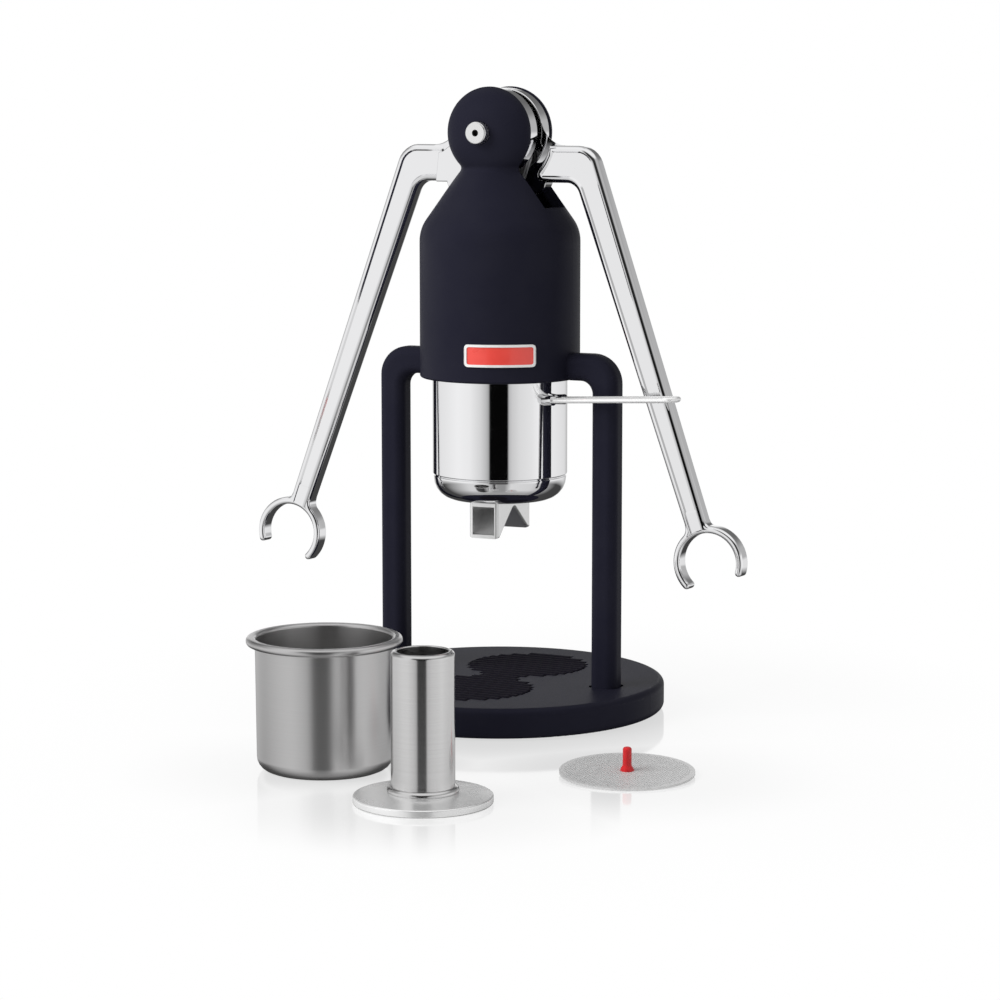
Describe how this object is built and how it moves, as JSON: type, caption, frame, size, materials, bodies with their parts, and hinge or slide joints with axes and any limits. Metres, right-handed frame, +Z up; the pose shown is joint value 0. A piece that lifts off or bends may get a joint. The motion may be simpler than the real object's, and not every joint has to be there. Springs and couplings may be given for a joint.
{
  "type": "manual espresso maker",
  "caption": "Lever press for espresso: dark bell-shaped body on two legs, chrome arms with open claws, portafilter with double spout, loose basket, tamper and screen.",
  "frame": {"origin": "centre of the round base on the surface it stands on", "axes": "+Z up, front towards -Y, legs and arms along X"},
  "size_m": [0.2712, 0.2975, 0.2964],
  "materials": {
    "dark_coat": "matte powder coat",
    "chrome": "polished chrome",
    "brushed_steel": "brushed stainless steel",
    "zinc_steel": "plain steel",
    "pin_metal": "satin steel",
    "badge_metal": "pale polished frame",
    "red_enamel": "gloss enamel",
    "red_silicone": "satin silicone",
    "black_rubber": "matte rubber",
    "mat_rubber": "matte ribbed rubber",
    "cast_aluminium": "as cast",
    "bronze": "turned"
  },
  "bodies": {
    "frame": {"base_plate": "dark_coat", "foot_pad": "black_rubber", "drip_mat": "mat_rubber", "right_leg": "dark_coat", "left_leg": "dark_coat", "leg_screws": "zinc_steel", "leg_studs": "zinc_steel", "body_shell": "dark_coat", "badge_plate": "red_enamel", "badge_frame": "badge_metal", "main_pin": "pin_metal", "pin_cap": "pin_metal", "group_collar": "brushed_steel", "rod_guide": "cast_aluminium", "guide_bush": "bronze", "guide_screws": "zinc_steel"},
    "left_arm": {"left_arm": "chrome", "left_hub_bush": "bronze", "left_crank_pin": "zinc_steel"},
    "right_arm": {"right_arm": "chrome", "right_hub_bush": "bronze", "right_crank_pin": "zinc_steel"},
    "left_link": {"left_link": "zinc_steel", "left_link_pin": "zinc_steel"},
    "right_link": {"right_link": "zinc_steel", "right_link_pin": "zinc_steel"},
    "piston": {"crosshead": "zinc_steel", "piston_rod": "brushed_steel", "piston_head": "cast_aluminium", "piston_seal": "black_rubber", "piston_bolt": "zinc_steel"},
    "portafilter": {"portafilter_cup": "chrome", "bayonet_lugs": "brushed_steel", "double_spout": "chrome", "spout_screw": "brushed_steel", "wire_handle": "chrome", "handle_ferrules": "chrome"},
    "basket": {"filter_basket": "brushed_steel"},
    "tamper": {"tamper_foot": "brushed_steel", "tamper_stem": "brushed_steel"},
    "screen": {"dispersion_screen": "brushed_steel", "screen_knob": "red_silicone"}
  },
  "joints": [
    {"name": "left_arm_raise", "type": "hinge", "parent": "frame", "child": "left_arm", "pos_m": [0, 0, 0.275], "axis": [0, 1, 0], "range_deg": [0, 90]},
    {"name": "right_arm_raise", "type": "hinge", "parent": "frame", "child": "right_arm", "pos_m": [0, 0, 0.275], "axis": [0, -1, 0], "range_deg": [0, 90]},
    {"name": "left_link_turn", "type": "hinge", "parent": "left_arm", "child": "left_link", "pos_m": [-0.01131, 0, 0.26369], "axis": [0, 1, 0], "range_deg": [-90, 0]},
    {"name": "right_link_turn", "type": "hinge", "parent": "right_arm", "child": "right_link", "pos_m": [0.01131, 0, 0.26369], "axis": [0, -1, 0], "range_deg": [-90, 0]},
    {"name": "piston_slide", "type": "slide", "parent": "frame", "child": "piston", "axis": [0, 0, 1], "range_m": [0, 0.02263]},
    {"name": "portafilter_twist", "type": "hinge", "parent": "frame", "child": "portafilter", "pos_m": [0, 0, 0.16], "axis": [0, 0, -1], "range_deg": [0, 50]},
    {"name": "basket_lift", "type": "slide", "parent": "frame", "child": "basket", "axis": [0, 0, 1], "range_m": [0, 0.1]},
    {"name": "tamper_lift", "type": "slide", "parent": "frame", "child": "tamper", "axis": [0, 0, 1], "range_m": [0, 0.1]},
    {"name": "screen_lift", "type": "slide", "parent": "frame", "child": "screen", "axis": [0, 0, 1], "range_m": [0, 0.1]}
  ],
  "couplings": [
    {"joint": "right_arm_raise", "follows": "left_arm_raise", "ratio": 1},
    {"joint": "left_link_turn", "follows": "left_arm_raise", "ratio": -1},
    {"joint": "right_link_turn", "follows": "left_arm_raise", "ratio": -1},
    {"joint": "piston_slide", "follows": "left_arm_raise", "m_per_rad": 0.014405}
  ]
}
